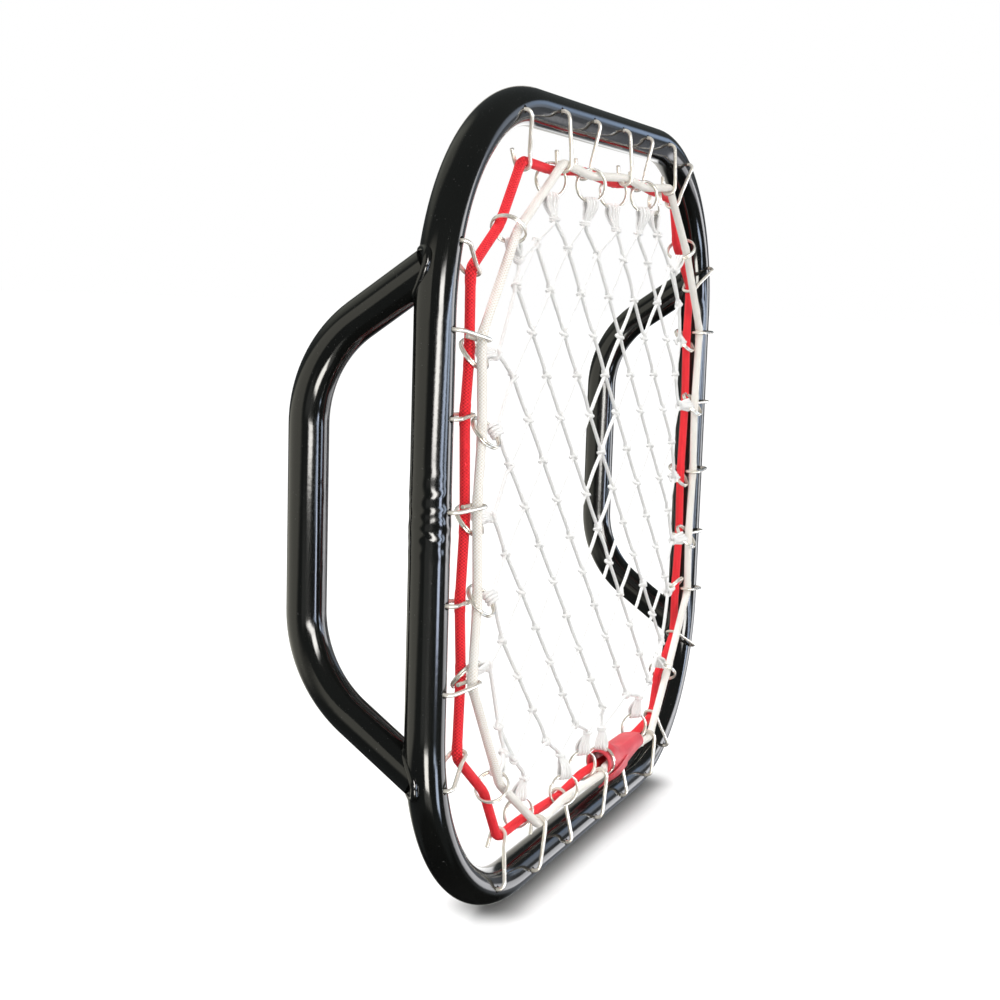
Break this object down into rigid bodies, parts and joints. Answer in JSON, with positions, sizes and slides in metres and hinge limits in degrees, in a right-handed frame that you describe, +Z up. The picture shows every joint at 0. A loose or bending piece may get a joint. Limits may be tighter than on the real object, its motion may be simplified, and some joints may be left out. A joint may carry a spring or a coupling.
{
  "type": "handheld rebounder net",
  "caption": "Handheld ball rebounder: square steel tube loop with two rear handles and a diamond net hung from split rings, elastic cords and wire hooks",
  "frame": {"origin": "underside of the bottom tube, in the middle of its width", "axes": "Z up, X along the width, -Y towards the player's ball (playing face), +Y towards the handles"},
  "size_m": [0.543, 0.1199, 0.543],
  "materials": {
    "black_powder_coat": "glossy black powder coat",
    "hook_wire_plated": "bright plated wire",
    "split_ring_plated": "nickel-plated spring wire",
    "red_elastic_braid": "braided cover, matt",
    "white_elastic_braid": "braided cover, matt",
    "white_net_twine": "braided twine, matt",
    "red_sleeve_tape": "smooth tape, half matt"
  },
  "bodies": {
    "frame": {"frame_tube": "black_powder_coat", "left_handle": "black_powder_coat", "right_handle": "black_powder_coat"},
    "net_group": {"net": "white_net_twine", "red_cord": "red_elastic_braid", "white_cord": "white_elastic_braid", "cord_sleeve": "red_sleeve_tape", "ring_bottom_2": "split_ring_plated", "ring_bottom_3": "split_ring_plated", "ring_bottom_4": "split_ring_plated", "ring_bottom_5": "split_ring_plated", "ring_bottom_6": "split_ring_plated", "ring_bottom_left": "split_ring_plated", "ring_bottom_right": "split_ring_plated", "ring_left_2": "split_ring_plated", "ring_left_3": "split_ring_plated", "ring_left_4": "split_ring_plated", "ring_left_5": "split_ring_plated", "ring_left_6": "split_ring_plated", "ring_right_2": "split_ring_plated", "ring_right_3": "split_ring_plated", "ring_right_4": "split_ring_plated", "ring_right_5": "split_ring_plated", "ring_right_6": "split_ring_plated", "ring_top_2": "split_ring_plated", "ring_top_3": "split_ring_plated", "ring_top_4": "split_ring_plated", "ring_top_5": "split_ring_plated", "ring_top_6": "split_ring_plated", "ring_top_left": "split_ring_plated", "ring_top_right": "split_ring_plated"},
    "hooks_top": {"hook_top_2": "hook_wire_plated", "hook_top_3": "hook_wire_plated", "hook_top_4": "hook_wire_plated", "hook_top_5": "hook_wire_plated", "hook_top_6": "hook_wire_plated"},
    "hook_top_first": {"hook_top_1": "hook_wire_plated"},
    "hook_top_last": {"hook_top_7": "hook_wire_plated"},
    "hooks_right": {"hook_right_2": "hook_wire_plated", "hook_right_3": "hook_wire_plated", "hook_right_4": "hook_wire_plated", "hook_right_5": "hook_wire_plated", "hook_right_6": "hook_wire_plated"},
    "hook_right_first": {"hook_right_1": "hook_wire_plated"},
    "hook_right_last": {"hook_right_7": "hook_wire_plated"},
    "hooks_bottom": {"hook_bottom_2": "hook_wire_plated", "hook_bottom_3": "hook_wire_plated", "hook_bottom_4": "hook_wire_plated", "hook_bottom_5": "hook_wire_plated", "hook_bottom_6": "hook_wire_plated"},
    "hook_bottom_first": {"hook_bottom_1": "hook_wire_plated"},
    "hook_bottom_last": {"hook_bottom_7": "hook_wire_plated"},
    "hooks_left": {"hook_left_2": "hook_wire_plated", "hook_left_3": "hook_wire_plated", "hook_left_4": "hook_wire_plated", "hook_left_5": "hook_wire_plated", "hook_left_6": "hook_wire_plated"},
    "hook_left_first": {"hook_left_1": "hook_wire_plated"},
    "hook_left_last": {"hook_left_7": "hook_wire_plated"}
  },
  "joints": [
    {"name": "net_rebound", "type": "slide", "parent": "frame", "child": "net_group", "axis": [0, 1, 0], "range_m": [-0.01, 0.01], "stiffness_N_per_m": 4000, "deforming": ["red_cord", "white_cord", "cord_sleeve"]},
    {"name": "hook_tilt_top", "type": "hinge", "parent": "frame", "child": "hooks_top", "pos_m": [0, -0.01175, 0.5305], "axis": [1, 0, 0], "range_deg": [-17.5, 17.5]},
    {"name": "hook_tilt_top_first", "type": "hinge", "parent": "frame", "child": "hook_top_first", "pos_m": [-0.16443, -0.01175, 0.5247], "axis": [0.9565, 0, 0.2916], "range_deg": [-17.5, 17.5]},
    {"name": "hook_tilt_top_last", "type": "hinge", "parent": "frame", "child": "hook_top_last", "pos_m": [0.1785, -0.01175, 0.51953], "axis": [0.9178, 0, -0.397], "range_deg": [-17.5, 17.5]},
    {"name": "hook_tilt_right", "type": "hinge", "parent": "frame", "child": "hooks_right", "pos_m": [0.259, -0.01175, 0.2715], "axis": [0, 0, -1], "range_deg": [-17.5, 17.5]},
    {"name": "hook_tilt_right_first", "type": "hinge", "parent": "frame", "child": "hook_right_first", "pos_m": [0.2529, -0.01175, 0.43688], "axis": [0.2987, 0, -0.9543], "range_deg": [-17.5, 17.5]},
    {"name": "hook_tilt_right_last", "type": "hinge", "parent": "frame", "child": "hook_right_last", "pos_m": [0.25132, -0.01175, 0.10138], "axis": [-0.3343, 0, -0.9425], "range_deg": [-17.5, 17.5]},
    {"name": "hook_tilt_bottom", "type": "hinge", "parent": "frame", "child": "hooks_bottom", "pos_m": [0, -0.01175, 0.0125], "axis": [-1, 0, 0], "range_deg": [-17.5, 17.5]},
    {"name": "hook_tilt_bottom_first", "type": "hinge", "parent": "frame", "child": "hook_bottom_first", "pos_m": [-0.17012, -0.01175, 0.02018], "axis": [-0.9425, 0, 0.3343], "range_deg": [-17.5, 17.5]},
    {"name": "hook_tilt_bottom_last", "type": "hinge", "parent": "frame", "child": "hook_bottom_last", "pos_m": [0.18395, -0.01175, 0.02598], "axis": [-0.8991, 0, -0.4378], "range_deg": [-17.5, 17.5]},
    {"name": "hook_tilt_left", "type": "hinge", "parent": "frame", "child": "hooks_left", "pos_m": [-0.259, -0.01175, 0.2715], "axis": [0, 0, 1], "range_deg": [-17.5, 17.5]},
    {"name": "hook_tilt_left_first", "type": "hinge", "parent": "frame", "child": "hook_left_first", "pos_m": [-0.25165, -0.01175, 0.44068], "axis": [0.3272, 0, 0.945], "range_deg": [-17.5, 17.5]},
    {"name": "hook_tilt_left_last", "type": "hinge", "parent": "frame", "child": "hook_left_last", "pos_m": [-0.25457, -0.01175, 0.11188], "axis": [-0.2556, 0, 0.9668], "range_deg": [-17.5, 17.5]}
  ],
  "couplings": [
    {"joint": "hook_tilt_top", "follows": "net_rebound", "rad_per_m": 29.412},
    {"joint": "hook_tilt_top_first", "follows": "net_rebound", "rad_per_m": 29.412},
    {"joint": "hook_tilt_top_last", "follows": "net_rebound", "rad_per_m": 29.412},
    {"joint": "hook_tilt_right", "follows": "net_rebound", "rad_per_m": 29.412},
    {"joint": "hook_tilt_right_first", "follows": "net_rebound", "rad_per_m": 29.412},
    {"joint": "hook_tilt_right_last", "follows": "net_rebound", "rad_per_m": 29.412},
    {"joint": "hook_tilt_bottom", "follows": "net_rebound", "rad_per_m": 29.412},
    {"joint": "hook_tilt_bottom_first", "follows": "net_rebound", "rad_per_m": 29.412},
    {"joint": "hook_tilt_bottom_last", "follows": "net_rebound", "rad_per_m": 29.412},
    {"joint": "hook_tilt_left", "follows": "net_rebound", "rad_per_m": 29.412},
    {"joint": "hook_tilt_left_first", "follows": "net_rebound", "rad_per_m": 29.412},
    {"joint": "hook_tilt_left_last", "follows": "net_rebound", "rad_per_m": 29.412}
  ]
}
